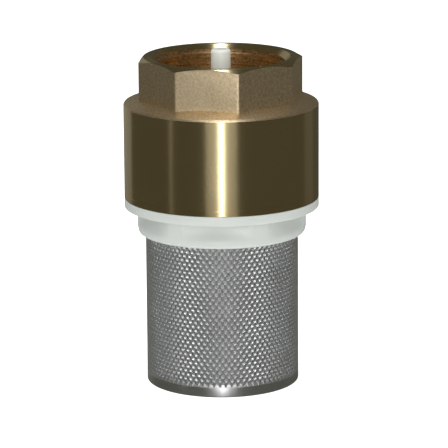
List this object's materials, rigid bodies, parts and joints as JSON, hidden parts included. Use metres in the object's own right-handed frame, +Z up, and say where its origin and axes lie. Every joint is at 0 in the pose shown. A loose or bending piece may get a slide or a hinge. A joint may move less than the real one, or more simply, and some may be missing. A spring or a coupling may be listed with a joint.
{
  "type": "foot valve",
  "caption": "Brass spring check valve with an octagonal threaded outlet, screwed to a white nylon adapter that carries a perforated stainless steel suction strainer.",
  "frame": {"origin": "centre of the strainer's base, on the surface that the valve stands on", "axes": "+Z up the valve's axis towards the outlet port, -Y towards the front"},
  "size_m": [0.0696, 0.0696, 0.1208],
  "materials": {
    "forged_brass": "shot-blasted forging, matte, with a turned satin drum",
    "turned_brass": "turned, glossy",
    "white_nylon": "moulded, satin",
    "white_acetal": "moulded, satin",
    "black_rubber": "smooth moulded",
    "perforated_steel": "bright rolled stainless",
    "spring_steel": "drawn stainless wire"
  },
  "bodies": {
    "housing": {"valve_body": "forged_brass", "end_ring": "turned_brass", "body_o_ring": "black_rubber", "lift_spring": "spring_steel"},
    "closure": {"poppet": "white_acetal", "disc_seal": "black_rubber", "seal_retainer": "white_acetal"},
    "strainer": {"strainer_adapter": "white_nylon", "strainer_basket": "perforated_steel", "strainer_base": "perforated_steel"}
  },
  "joints": [
    {"name": "poppet_lift", "type": "slide", "parent": "housing", "child": "closure", "axis": [0, 0, 1], "range_m": [0, 0.0095], "stiffness_N_per_m": 260, "springref_m": -0.008, "deforming": ["lift_spring"]},
    {"name": "strainer_unscrew", "type": "slide", "parent": "housing", "child": "strainer", "axis": [0, 0, -1], "range_m": [0, 0.01154]}
  ]
}
